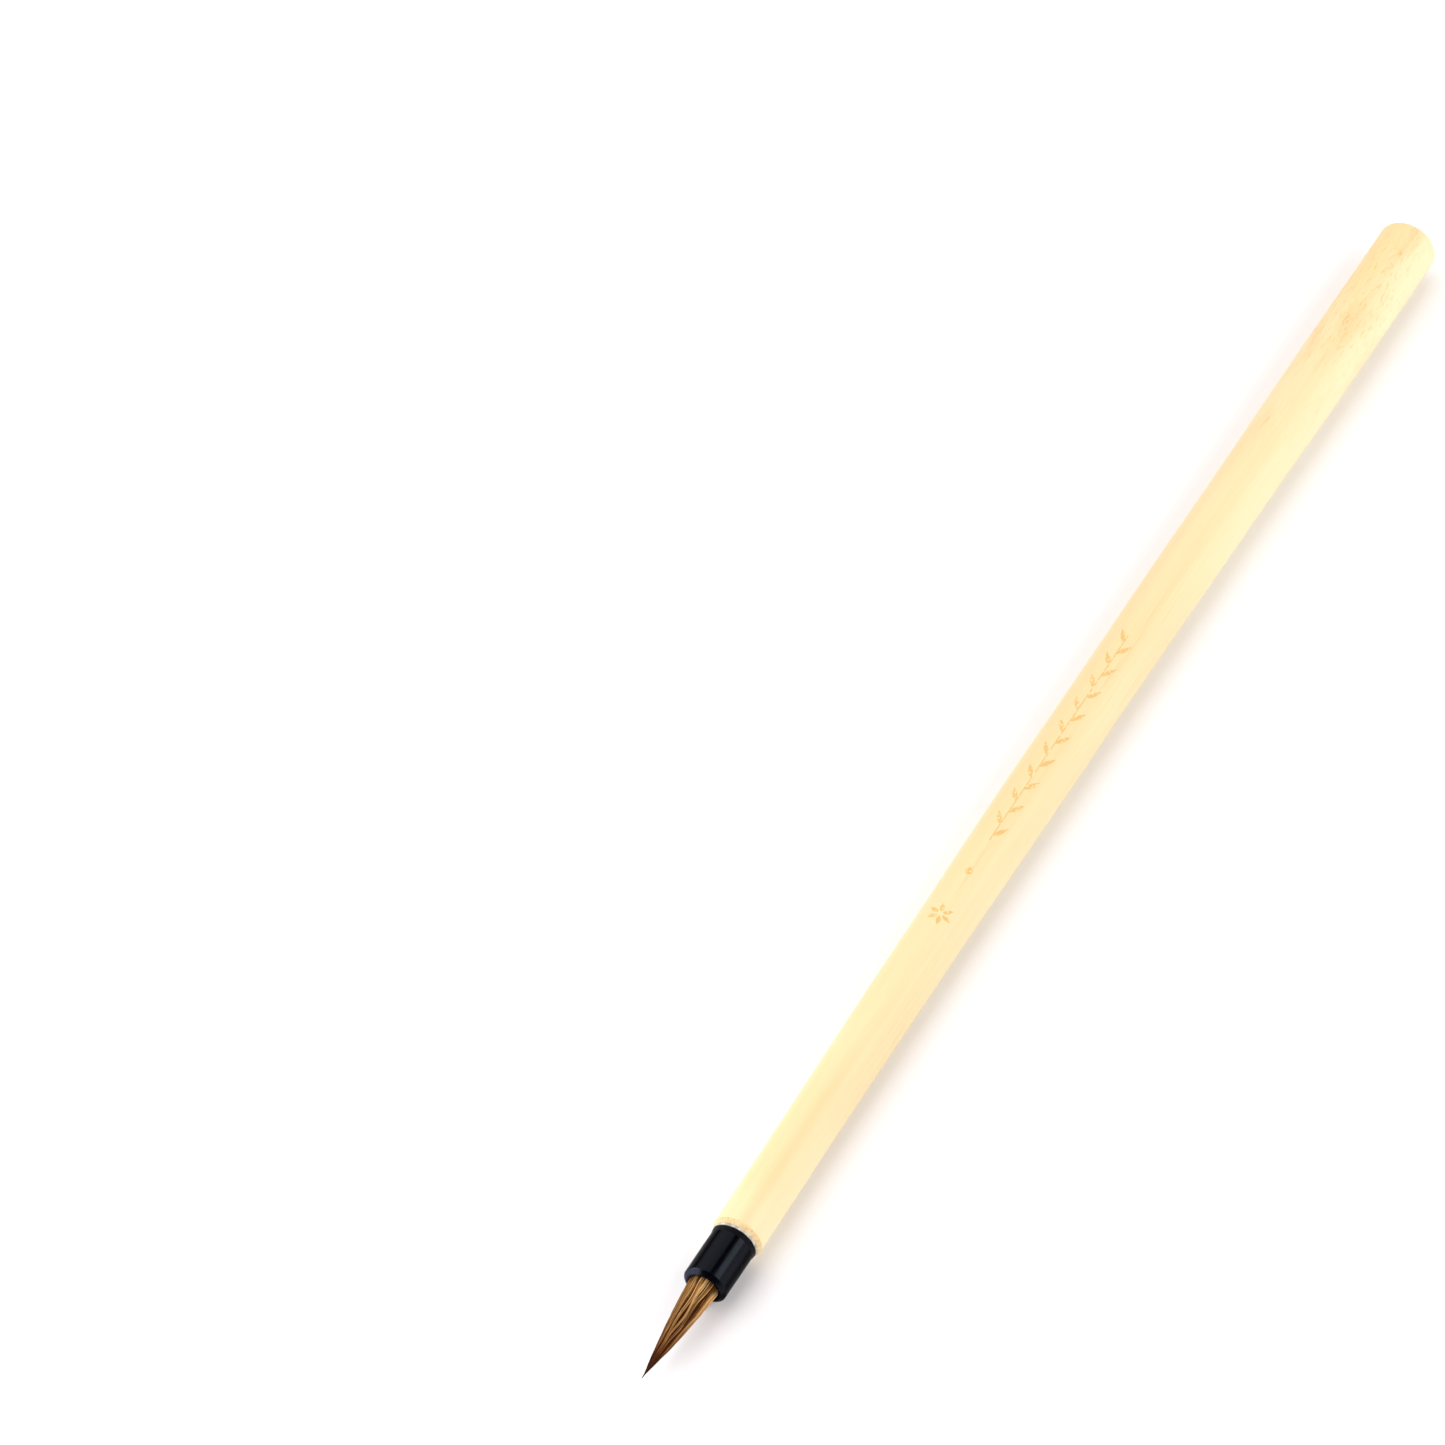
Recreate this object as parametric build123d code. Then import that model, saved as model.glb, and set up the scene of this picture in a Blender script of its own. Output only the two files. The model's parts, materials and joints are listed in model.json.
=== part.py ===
from build123d import *
import math
import os

# A calligraphy brush: a bamboo handle, a plastic ferrule glued into its mouth, and a pointed
# tuft of hair tied, sealed and glued into the ferrule.
#
# Every piece is turned about the brush's own axis. Along that axis, x = 0 is the handle's mouth,
# and +x leads to the point of the hair. All lengths are in millimetres, angles in degrees.

# Handle
HANDLE_LENGTH = 206.3
GRIP_RADIUS = 3.75
GRIP_LENGTH = 60.0
BUTT_RADIUS = 4.55
BUTT_ROUNDING = 1.4
MOUTH_BEVEL_LENGTH = 0.65
MOUTH_BEVEL_DEPTH = 0.4
LUMEN_RADIUS = 1.2
BUTT_NODE_THICKNESS = 7.0

# Ferrule
SPIGOT_RADIUS = 2.75
SPIGOT_LENGTH = 8.0
BARREL_RADIUS = 3.2
BARREL_FRONT = 9.0
COLLAR_RADIUS = 3.3
COLLAR_LENGTH = 0.8
FERRULE_BORE_RADIUS = 2.3
FRONT_BEVEL = 0.45
BORE_BEVEL = 0.2

# Glue, resin and thread
GLUE_FILM = 0.1
GLUE_SHOULDER = 0.5
RESIN_THICKNESS = 1.5
RESIN_DISH = 0.5
HAIR_GLUE_SHORT_OF_MOUTH = 2.0
THREAD_DIAMETER = 0.3
THREAD_TURNS = 5
THREAD_OFFSET = 0.6

# Hair
HAIR_RADIUS = 2.2
HAIR_SET_DEPTH = 10.0
HAIR_EXPOSED = 16.7
HAIR_FULLNESS = 1.5
POINT_RADIUS = 0.05
MANTLE_THICKNESS = 0.72
MANTLE_THINNING = 0.034

# Where the hair bends, as distances ahead of the ferrule's front rim, and how far at each place
BEND_PLACES = [2.0, 6.6, 11.0]
BEND_LIMITS = [25.0, 25.0, 30.0]
SOCKET_SHARE = 0.92
SOCKET_GAP = 0.06
TRIM_MARGIN = 2.0

POINT = BARREL_FRONT + HAIR_EXPOSED
ROOT_END = BARREL_FRONT - HAIR_SET_DEPTH
THREAD_START = ROOT_END + THREAD_OFFSET
SOCKET_RADIUS = SPIGOT_RADIUS + GLUE_FILM
SPLINE_STEPS = 12


def turned(face):
    """The solid that a half outline, above the x axis, makes when it is turned about that axis."""
    return revolve(face, Axis.X)


def outline(points):
    """A flat face inside a closed run of straight edges."""
    return make_face(Polyline(*points, close=True))


def hair_radius(x):
    """Outer radius of the hair: straight inside the ferrule, then rounding in to a fine point."""
    ahead = max(0.0, x - BARREL_FRONT) / HAIR_EXPOSED
    return max(POINT_RADIUS, HAIR_RADIUS * (1 - ahead**HAIR_FULLNESS))


def core_radius(x):
    """Outer radius of the core bundle, under a mantle that thins towards the point."""
    ahead = max(0.0, x - BARREL_FRONT)
    return max(POINT_RADIUS, hair_radius(x) - MANTLE_THICKNESS + MANTLE_THINNING * ahead)


def bundle(radius_at, start, end):
    """Half outline of a hair bundle from start to end, with radius_at(x) as its radius."""
    places = [BARREL_FRONT + (end - BARREL_FRONT) * i / SPLINE_STEPS for i in range(SPLINE_STEPS + 1)]
    curve = [(x, radius_at(x)) for x in places]
    edges = [
        Line((start, 0), (start, curve[0][1])),
        Line((start, curve[0][1]), curve[0]),
        Spline(*curve),
        Line(curve[-1], (end, 0)),
        Line((end, 0), (start, 0)),
    ]
    return make_face(edges)


def bamboo_handle():
    """Culm tube: straight grip at the mouth, slow taper to a rounded butt that a node closes."""
    butt = -HANDLE_LENGTH
    rounding_centre = (butt + BUTT_ROUNDING, BUTT_RADIUS - BUTT_ROUNDING)
    rounding_start = (butt, rounding_centre[1])
    rounding_end = (rounding_centre[0], BUTT_RADIUS)
    half_turn = math.sqrt(0.5) * BUTT_ROUNDING
    rounding_middle = (rounding_centre[0] - half_turn, rounding_centre[1] + half_turn)
    shell = make_face(
        [
            Line((butt, 0), rounding_start),
            ThreePointArc(rounding_start, rounding_middle, rounding_end),
            Polyline(
                rounding_end,
                (-GRIP_LENGTH, GRIP_RADIUS),
                (-MOUTH_BEVEL_LENGTH, GRIP_RADIUS),
                (0, GRIP_RADIUS - MOUTH_BEVEL_DEPTH),
                (0, 0),
                (butt, 0),
            ),
        ]
    )
    socket_floor = -SPIGOT_LENGTH
    lumen_end = butt + BUTT_NODE_THICKNESS
    hollow = outline(
        [
            (0, 0),
            (0, SOCKET_RADIUS),
            (socket_floor, SOCKET_RADIUS),
            (socket_floor - (SOCKET_RADIUS - LUMEN_RADIUS), LUMEN_RADIUS),
            (lumen_end + LUMEN_RADIUS, LUMEN_RADIUS),
            (lumen_end, 0),
        ]
    )
    return turned(shell - hollow)


def ferrule():
    """Black plastic sleeve: thin spigot, flared collar, and a barrel with a bevelled front rim."""
    collar_front = GLUE_SHOULDER + COLLAR_LENGTH
    return turned(
        outline(
            [
                (-SPIGOT_LENGTH, FERRULE_BORE_RADIUS),
                (-SPIGOT_LENGTH, SPIGOT_RADIUS),
                (GLUE_SHOULDER, SPIGOT_RADIUS),
                (GLUE_SHOULDER, COLLAR_RADIUS),
                (collar_front, BARREL_RADIUS),
                (BARREL_FRONT - FRONT_BEVEL, BARREL_RADIUS),
                (BARREL_FRONT, BARREL_RADIUS - FRONT_BEVEL),
                (BARREL_FRONT, FERRULE_BORE_RADIUS + BORE_BEVEL),
                (BARREL_FRONT - BORE_BEVEL, FERRULE_BORE_RADIUS),
            ]
        )
    )


def ferrule_glue():
    """Glue round the spigot, and the ring of it between the mouth and the ferrule's shoulder."""
    return turned(
        outline(
            [
                (-SPIGOT_LENGTH, SPIGOT_RADIUS),
                (-SPIGOT_LENGTH, SOCKET_RADIUS),
                (0, SOCKET_RADIUS),
                (0, GRIP_RADIUS - MOUTH_BEVEL_DEPTH),
                (GLUE_SHOULDER, COLLAR_RADIUS),
                (GLUE_SHOULDER, SPIGOT_RADIUS),
            ]
        )
    )


def root_resin():
    """Plug of resin that seals the hair roots, dished at the back where it set."""
    back = ROOT_END - RESIN_THICKNESS
    return turned(
        outline(
            [
                (ROOT_END, 0),
                (ROOT_END, FERRULE_BORE_RADIUS),
                (back, FERRULE_BORE_RADIUS),
                (back + RESIN_DISH, FERRULE_BORE_RADIUS / 2),
                (back + RESIN_DISH, 0),
            ]
        )
    )


def thread_section():
    """Half outline of the thread's turns, laid side by side in the groove that they pull."""
    strand = THREAD_DIAMETER / 2
    middle = HAIR_RADIUS - strand
    length = THREAD_TURNS * THREAD_DIAMETER
    section = Pos(THREAD_START + length / 2, middle - strand / 2) * Rectangle(length, strand)
    for turn in range(THREAD_TURNS):
        section += Pos(THREAD_START + (turn + 0.5) * THREAD_DIAMETER, middle) * Circle(strand)
    return section


def root_thread():
    """Winding that ties the hair roots."""
    return turned(thread_section())


def thread_groove():
    """Half outline of the waist that the thread pulls in the hair roots."""
    length = THREAD_TURNS * THREAD_DIAMETER
    middle = THREAD_START + length / 2
    return Pos(middle, HAIR_RADIUS) * Rectangle(length, 2 * THREAD_DIAMETER)


def hair_glue():
    """Film of glue between the tied roots and the ferrule's bore."""
    front = BARREL_FRONT - HAIR_GLUE_SHORT_OF_MOUTH
    film = FERRULE_BORE_RADIUS - HAIR_RADIUS
    middle = ((ROOT_END + front) / 2, HAIR_RADIUS + film / 2)
    return turned(Pos(*middle) * Rectangle(front - ROOT_END, film))


def bend_centre(place):
    """Where the hair turns, on the brush's axis."""
    return BARREL_FRONT + place


def socket_ball(place):
    """Radius of the ball that the still side of a bend ends in."""
    return SOCKET_SHARE * hair_radius(bend_centre(place))


def behind_bend(place):
    """Half plane region behind a bend: all that lies behind its centre, and the ball."""
    centre = bend_centre(place)
    ball = socket_ball(place)
    reach = 2 * HAIR_RADIUS
    slope = reach - ball
    back = -HANDLE_LENGTH
    region = outline(
        [
            (back, 0),
            (back, reach),
            (centre - slope, reach),
            (centre, ball),
            (centre, 0),
        ]
    )
    return region + Pos(centre, 0) * Circle(ball)


def ahead_of_bend(place, limit):
    """Half plane region ahead of a bend: inside the cone that stays clear up to the limit."""
    centre = bend_centre(place)
    half_angle = math.radians(90 - limit - TRIM_MARGIN)
    reach = 2 * HAIR_EXPOSED
    wedge = outline(
        [
            (centre, 0),
            (centre + reach * math.cos(half_angle), reach * math.sin(half_angle)),
            (centre + reach, 0),
        ]
    )
    return wedge - Pos(centre, 0) * Circle(socket_ball(place) + SOCKET_GAP)


def hair_regions():
    """The stretches that the bends cut the hair into, from the root to the point."""
    regions = []
    for index, name in enumerate(["root", "belly", "throat", "point"]):
        region = None
        if index > 0:
            region = ahead_of_bend(BEND_PLACES[index - 1], BEND_LIMITS[index - 1])
        if index < len(BEND_PLACES):
            still = behind_bend(BEND_PLACES[index])
            region = still if region is None else region & still
        regions.append((name, region))
    return regions


def hair_pieces():
    """Core and mantle of each stretch of the hair. The core alone makes the point."""
    whole = bundle(hair_radius, ROOT_END, POINT) - thread_groove()
    core = bundle(core_radius, ROOT_END, bend_centre(BEND_PLACES[-1]) + HAIR_RADIUS)
    mantle = whole - core
    pieces = {}
    for name, region in hair_regions():
        if name == "point":
            pieces["core_point"] = turned(whole & region)
        else:
            pieces["core_" + name] = turned(core & region)
            pieces["mantle_" + name] = turned(mantle & region)
    return pieces


def lying_down():
    """The brush lies on its side: butt and mouth rims on z = 0, box centred on x = 0 and y = 0."""
    rim_span = HANDLE_LENGTH - BUTT_ROUNDING - MOUTH_BEVEL_LENGTH
    tilt = math.atan((BUTT_RADIUS - GRIP_RADIUS) / rim_span)
    sine, cosine = math.sin(tilt), math.cos(tilt)
    back = -HANDLE_LENGTH * cosine - (BUTT_RADIUS - BUTT_ROUNDING) * sine
    front = POINT * cosine + POINT_RADIUS * sine
    height = GRIP_RADIUS * cosine - MOUTH_BEVEL_LENGTH * sine
    return Location((-(back + front) / 2, 0, height), (0, math.degrees(tilt), 0))


def build():
    pieces = {
        "bamboo_handle": bamboo_handle(),
        "ferrule": ferrule(),
        "ferrule_glue": ferrule_glue(),
        "root_resin": root_resin(),
        "root_thread": root_thread(),
        "hair_glue": hair_glue(),
        **hair_pieces(),
    }
    place = lying_down()
    return {name: place * piece for name, piece in pieces.items()}


os.makedirs("parts", exist_ok=True)
for node, piece in build().items():
    export_step(piece, f"parts/{node}.step")
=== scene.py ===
import json
import math

import bpy
import numpy as np
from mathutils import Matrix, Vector


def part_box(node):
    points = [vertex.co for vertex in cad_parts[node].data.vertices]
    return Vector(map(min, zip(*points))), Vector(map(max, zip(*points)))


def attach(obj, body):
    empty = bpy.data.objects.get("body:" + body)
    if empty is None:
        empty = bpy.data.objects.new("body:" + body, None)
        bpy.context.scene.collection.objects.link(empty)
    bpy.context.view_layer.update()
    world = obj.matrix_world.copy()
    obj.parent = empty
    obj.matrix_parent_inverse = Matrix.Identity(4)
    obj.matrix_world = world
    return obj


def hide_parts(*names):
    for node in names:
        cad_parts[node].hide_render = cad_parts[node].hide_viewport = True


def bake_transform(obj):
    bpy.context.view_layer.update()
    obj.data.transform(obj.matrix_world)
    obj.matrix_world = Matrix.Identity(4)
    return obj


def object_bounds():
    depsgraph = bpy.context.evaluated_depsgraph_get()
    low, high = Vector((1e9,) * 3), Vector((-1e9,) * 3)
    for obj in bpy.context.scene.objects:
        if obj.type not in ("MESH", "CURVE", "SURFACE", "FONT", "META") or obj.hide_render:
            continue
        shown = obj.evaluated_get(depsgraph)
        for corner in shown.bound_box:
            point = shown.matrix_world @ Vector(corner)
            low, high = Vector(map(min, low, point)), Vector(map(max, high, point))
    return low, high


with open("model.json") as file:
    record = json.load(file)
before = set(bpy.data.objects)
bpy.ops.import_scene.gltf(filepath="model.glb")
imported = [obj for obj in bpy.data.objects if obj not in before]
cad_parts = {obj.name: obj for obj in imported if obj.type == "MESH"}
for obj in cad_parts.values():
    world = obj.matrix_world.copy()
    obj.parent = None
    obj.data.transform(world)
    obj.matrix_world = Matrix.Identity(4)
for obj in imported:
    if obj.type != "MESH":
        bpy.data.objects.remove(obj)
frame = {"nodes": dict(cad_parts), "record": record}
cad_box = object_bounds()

# A calligraphy brush lying on its side on a white table: bamboo handle, black plastic ferrule,
# and a pointed tuft of hair.
#
# Pieces are modelled in brush coordinates, in millimetres: x runs along the brush from the
# handle's mouth (0) to the point of the hair, y to its side, z up from its axis. placed() turns
# them into the frame's metres.

# ------------------------------------------------------------------ what the frame says

MM = 0.001
record = frame["record"]
mounts = {mount["name"]: mount for mount in record["mounts"]}
joints = {joint["name"]: joint for joint in record["behaviour"]["joints"]}
BENDS = ["belly_bend", "throat_bend", "point_bend"]

ALONG = Vector(mounts["handle_grip"]["axis"]).normalized()
UPWARD = Vector(joints["belly_bend"]["axis"]).normalized()
SIDEWAYS = UPWARD.cross(ALONG)


def axis_at(world_x):
    """The point of the brush's axis that has this X in the frame, in metres."""
    grip = Vector(mounts["handle_grip"]["pos_m"])
    return grip + ALONG * ((world_x - grip.x) / ALONG.x)


MOUTH = axis_at(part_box("bamboo_handle")[1].x)


def station(world_x):
    """How far ahead of the handle's mouth a frame X lies, in millimetres along the brush."""
    return (axis_at(world_x) - MOUTH).dot(ALONG) / MM


def half_width(node):
    """Radius of a turned CAD node, in millimetres."""
    low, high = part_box(node)
    return (high.y - low.y) / 2 / MM


BUTT = station(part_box("bamboo_handle")[0].x)
BUTT_RADIUS = half_width("bamboo_handle")
GRIP_RADIUS = mounts["handle_grip"]["dims"]["r_mm"]
SPIGOT_BACK = station(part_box("ferrule")[0].x)
FERRULE_FRONT = station(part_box("ferrule")[1].x)
BARREL_RADIUS = mounts["cap_seat"]["dims"]["r_mm"]
BARREL_LENGTH = mounts["cap_seat"]["dims"]["length_mm"]
BARREL_BACK = station(mounts["cap_seat"]["pos_m"][0]) - BARREL_LENGTH / 2
COLLAR_RADIUS = half_width("ferrule")
GLUE_FRONT = station(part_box("ferrule_glue")[1].x)
BORE_RADIUS = half_width("hair_glue")
ROOT_END = station(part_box("mantle_root")[0].x)
HAIR_RADIUS = half_width("mantle_root")
THREAD_FRONT = station(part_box("root_thread")[1].x)
POINT = station(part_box("core_point")[1].x)
HAIR_LENGTH = POINT - FERRULE_FRONT
BEND_STATIONS = [station(joints[name]["pos_m"][0]) for name in BENDS]

# ------------------------------------------------------------------ sizes the frame doesn't give

# Handle and ferrule, in millimetres
BUTT_ROUNDING = 1.4
CULM_SLIMMER = 0.09
MOUTH_FACE = 0.12
MOUTH_BEVEL_LENGTH = 0.75
MOUTH_BEVEL_DEPTH = 0.4
SOCKET_RADIUS = 2.85
SPIGOT_RADIUS = 2.75
AXIS_HOLE = 0.05

# Hair: radii in millimetres, and how blunt its outline is at the ferrule and at the point
HAIR_WAIST = 1.85
HAIR_POINT_RADIUS = 0.1
HAIR_FULLNESS_ROOT = 1.15
HAIR_FULLNESS_POINT = 1.65

# ------------------------------------------------------------------ mesh helpers


def placed(points):
    """Brush coordinates in millimetres, as an array of rows, to frame coordinates in metres."""
    axes = np.array([ALONG, SIDEWAYS, UPWARD])
    return np.array(MOUTH) + MM * np.asarray(points, float) @ axes


def new_piece(name, points, faces, materials, material_of=None, sharp_degrees=40):
    """A smooth-shaded mesh object from brush coordinates. material_of gives each face's slot."""
    mesh = bpy.data.meshes.new(name)
    mesh.from_pydata(placed(points).tolist(), [], faces)
    for material in materials:
        mesh.materials.append(material)
    if material_of is not None:
        mesh.polygons.foreach_set("material_index", np.asarray(material_of, np.int32))
    mesh.shade_smooth()
    mesh.set_sharp_from_angle(angle=math.radians(sharp_degrees))
    mesh.validate()
    piece = bpy.data.objects.new(name, mesh)
    bpy.context.scene.collection.objects.link(piece)
    return piece


def band_faces(rings, around, closed=False):
    """Quads between rings of points laid out one after another, outward when the rings run +x."""
    faces = []
    for ring in range(rings if closed else rings - 1):
        this, following = ring * around, (ring + 1) % rings * around
        for i in range(around):
            j = (i + 1) % around
            faces.append((this + i, this + j, following + j, following + i))
    return faces


def capped_faces(rings, around):
    """band_faces with both ends closed."""
    last = (rings - 1) * around
    start = tuple(reversed(range(around)))
    end = tuple(range(last, last + around))
    return band_faces(rings, around) + [start, end]


def angles(around):
    """Evenly spaced angles of a full turn."""
    return np.arange(around) * 2 * math.pi / around


def turned_points(profile, around, offset=None):
    """Rings of points about the axis from (x, radius) pairs. offset(x, turn) adds to the radius."""
    turn = angles(around)
    rows = []
    for x, radius in profile:
        radii = np.full(around, float(radius))
        if offset is not None:
            radii = radii + offset(x, turn)
        ahead = np.full(around, x)
        rows.append(np.column_stack([ahead, radii * np.cos(turn), radii * np.sin(turn)]))
    return np.concatenate(rows)


def arc(centre, radius, start_degrees, end_degrees, steps):
    """Points of an arc in the (x, radius) half plane."""
    turn = np.radians(np.linspace(start_degrees, end_degrees, steps))
    return [(centre[0] + radius * math.cos(a), centre[1] + radius * math.sin(a)) for a in turn]


def smoothstep(value, low, high):
    """0 at low, 1 at high, and a smooth rise between them."""
    share = np.clip((np.asarray(value, float) - low) / (high - low), 0, 1)
    return share * share * (3 - 2 * share)


# ------------------------------------------------------------------ material helpers


def linear(red, green, blue):
    """A colour given as 0 to 255 in sRGB, as the linear colour that shaders take."""
    shares = [channel / 255 for channel in (red, green, blue)]
    return tuple(s / 12.92 if s <= 0.04045 else ((s + 0.055) / 1.055) ** 2.4 for s in shares) + (1,)


def levels_node(nodes, links, source, low, high, out_low, out_high):
    """Maps low..high smoothly to out_low..out_high, clamped."""
    node = nodes.new("ShaderNodeMapRange")
    node.interpolation_type = "SMOOTHSTEP"
    node.inputs["From Min"].default_value = low
    node.inputs["From Max"].default_value = high
    node.inputs["To Min"].default_value = out_low
    node.inputs["To Max"].default_value = out_high
    links.new(source, node.inputs["Value"])
    return node.outputs["Result"]


def math_node(nodes, links, operation, first, second):
    """One operation on two numbers or outputs."""
    node = nodes.new("ShaderNodeMath")
    node.operation = operation
    for socket, value in enumerate((first, second)):
        if isinstance(value, (int, float)):
            node.inputs[socket].default_value = value
        else:
            links.new(value, node.inputs[socket])
    return node.outputs["Value"]


class Shader:
    """A material's node tree with short ways to add the nodes used here."""

    def __init__(self, name, roughness, specular=0.5, coat=0.0, coat_roughness=0.1):
        self.material = bpy.data.materials.new(name)
        self.material.use_nodes = True
        self.nodes = self.material.node_tree.nodes
        self.links = self.material.node_tree.links
        self.surface = self.nodes["Principled BSDF"]
        self.surface.inputs["Roughness"].default_value = roughness
        self.surface.inputs["Specular IOR Level"].default_value = specular
        self.surface.inputs["Coat Weight"].default_value = coat
        self.surface.inputs["Coat Roughness"].default_value = coat_roughness
        self.place = self.nodes.new("ShaderNodeTexCoord").outputs["Object"]

    def link(self, source, node, socket):
        """Links an output to a named input of a node."""
        self.links.new(source, node.inputs[socket])

    def stretched(self, scale, offset=(0, 0, 0)):
        """Object coordinates scaled along X, Y and Z, per metre."""
        node = self.nodes.new("ShaderNodeMapping")
        node.inputs["Scale"].default_value = scale
        node.inputs["Location"].default_value = offset
        self.link(self.place, node, "Vector")
        return node.outputs["Vector"]

    def noise(self, scale, detail=4.0, roughness=0.55, offset=(0, 0, 0)):
        """Cloudy noise from 0 to 1."""
        node = self.nodes.new("ShaderNodeTexNoise")
        node.inputs["Scale"].default_value = 1.0
        node.inputs["Detail"].default_value = detail
        node.inputs["Roughness"].default_value = roughness
        self.link(self.stretched(scale, offset), node, "Vector")
        return node.outputs["Fac"]

    def cells(self, scale):
        """Distance to the middle of the nearest of many cells."""
        node = self.nodes.new("ShaderNodeTexVoronoi")
        node.inputs["Scale"].default_value = 1.0
        self.link(self.stretched(scale), node, "Vector")
        return node.outputs["Distance"]

    def ramp(self, factor, *stops):
        """Colour ramp with (position, colour) stops."""
        node = self.nodes.new("ShaderNodeValToRGB")
        band = node.color_ramp
        while len(band.elements) < len(stops):
            band.elements.new(0.5)
        for element, (position, colour) in zip(band.elements, stops):
            element.position = position
            element.color = colour
        self.link(factor, node, "Fac")
        return node.outputs["Color"]

    def levels(self, factor, low, high, out_low=0.0, out_high=1.0):
        """Maps low..high smoothly to out_low..out_high, clamped."""
        return levels_node(self.nodes, self.links, factor, low, high, out_low, out_high)

    def mix(self, factor, first, second):
        """Colour between first, at factor 0, and second, at 1."""
        node = self.nodes.new("ShaderNodeMix")
        node.data_type = "RGBA"
        factor_socket, first_socket, second_socket, colour_output = 0, 6, 7, 2
        given = {factor_socket: factor, first_socket: first, second_socket: second}
        for socket, value in given.items():
            if isinstance(value, (int, float, tuple)):
                node.inputs[socket].default_value = value
            else:
                self.links.new(value, node.inputs[socket])
        return node.outputs[colour_output]

    def product(self, first, second):
        """Two numbers or outputs multiplied."""
        return math_node(self.nodes, self.links, "MULTIPLY", first, second)

    def facing(self):
        """0 where the surface faces the eye, 1 at its outline."""
        return self.nodes.new("ShaderNodeLayerWeight").outputs["Facing"]

    def attribute(self, name):
        """The red, green and blue shares of a colour attribute."""
        node = self.nodes.new("ShaderNodeAttribute")
        node.attribute_name = name
        split = self.nodes.new("ShaderNodeSeparateColor")
        self.link(node.outputs["Color"], split, "Color")
        return split.outputs["Red"], split.outputs["Green"], split.outputs["Blue"]

    def place_parts(self):
        """X and Y in the frame, in metres."""
        node = self.nodes.new("ShaderNodeSeparateXYZ")
        self.link(self.place, node, "Vector")
        return node.outputs["X"], node.outputs["Y"]

    def bump(self, height, strength, depth, below=None):
        """Adds bump of this depth in metres to the surface."""
        node = self.nodes.new("ShaderNodeBump")
        node.inputs["Strength"].default_value = strength
        node.inputs["Distance"].default_value = depth
        self.link(height, node, "Height")
        if below is not None:
            self.link(below, node, "Normal")
        self.link(node.outputs["Normal"], self.surface, "Normal")
        return node.outputs["Normal"]

    def colour(self, colour):
        """Gives the surface this colour."""
        self.link(colour, self.surface, "Base Color")

    def rough(self, roughness):
        """Gives the surface this roughness."""
        self.link(roughness, self.surface, "Roughness")


# ------------------------------------------------------------------ materials

# X and Y in materials are the frame's, in metres: the butt is near X -0.116, the point near
# 0.116. Bump depths are in metres too, and noise scales are per metre along X, Y and Z.


def fresh_skin(s, fibres):
    """Cream skin with soft clouds of tone, long fine fibres and faint tan dashes."""
    clouds = s.noise((14, 160, 160), detail=3)
    tone = s.ramp(
        clouds,
        (0.30, linear(222, 203, 154)),
        (0.50, linear(225, 209, 162)),
        (0.72, linear(227, 215, 171)),
    )
    tone = s.mix(s.levels(fibres, 0.38, 0.66, 0.12, 0.0), tone, linear(202, 168, 112))
    dashes = s.noise((70, 2300, 2300), detail=2, offset=(3, 1, 7))
    return s.mix(s.levels(dashes, 0.62, 0.74, 0.0, 0.18), tone, linear(194, 152, 96))


def side_shaded_skin(s, tone, x, y):
    """Painted shade along the -Y side, a darker band behind the mouth, and painted light on +Y near
    both ends.
    """
    # Painted shade: the -Y side darker along the culm, half as much by the butt and none by the
    # mouth.
    shaded_side_mask = s.levels(y, 0.003, -0.003)
    shaded_length_mask = s.product(s.levels(x, 0.085, 0.045), s.levels(x, -0.1, -0.055, 0.5, 1.0))
    painted_side_shade = s.product(shaded_side_mask, shaded_length_mask)
    tone = s.mix(s.product(painted_side_shade, 0.4), tone, linear(220, 192, 136))
    # A darker band just behind the mouth.
    band_behind_mouth = s.product(s.levels(x, 0.088, 0.081), s.levels(x, 0.052, 0.068))
    tone = s.mix(s.product(band_behind_mouth, 0.45), tone, linear(222, 192, 138))
    # Painted light: the +Y side paler near both ends, not in the middle.
    middle = s.product(s.levels(x, -0.015, -0.065, 1.0, 0.0), s.levels(x, 0.045, 0.085, 1.0, 0.0))
    painted_side_light = s.product(s.levels(y, 0.0, 0.004), s.levels(middle, 0.0, 1.0, 1.0, 0.0))
    return s.mix(s.product(painted_side_light, 0.5), tone, linear(240, 231, 190))


def stained_butt(s, tone, x, y):
    """Stains, grime, specks and scuffs near the butt: the new tone, and where the scuffs are."""
    near_butt = s.product(s.levels(x, -0.05, -0.095), s.levels(y, 0.004, -0.002, 0.3, 1.0))
    patches = s.noise((70, 260, 260), detail=4, offset=(6, 2, 5))
    stained = s.product(s.levels(patches, 0.46, 0.62), near_butt)
    tone = s.mix(s.product(stained, 0.5), tone, linear(222, 182, 120))
    grimy = s.product(s.levels(x, -0.092, -0.104), s.levels(y, 0.002, -0.002))
    tone = s.mix(s.product(grimy, 0.35), tone, linear(224, 190, 112))
    speckled = s.product(s.levels(x, -0.08, -0.095), s.levels(x, -0.1155, -0.107, 0.4, 1.0))
    speckled = s.product(speckled, s.levels(y, 0.0046, 0.0015, 0.4, 1.0))
    specks = s.noise((680, 2500, 2500), detail=3, roughness=0.6, offset=(4, 9, 3))
    specks = s.product(s.levels(specks, 0.52, 0.7), speckled)
    tone = s.mix(s.product(specks, 0.5), tone, linear(204, 172, 86))
    scuffs = s.noise((330, 1500, 1500), detail=6, roughness=0.75, offset=(1, 4, 2))
    scuffs = s.product(s.levels(scuffs, 0.56, 0.66), stained)
    return s.mix(s.product(scuffs, 0.8), tone, linear(190, 138, 72)), scuffs


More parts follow.
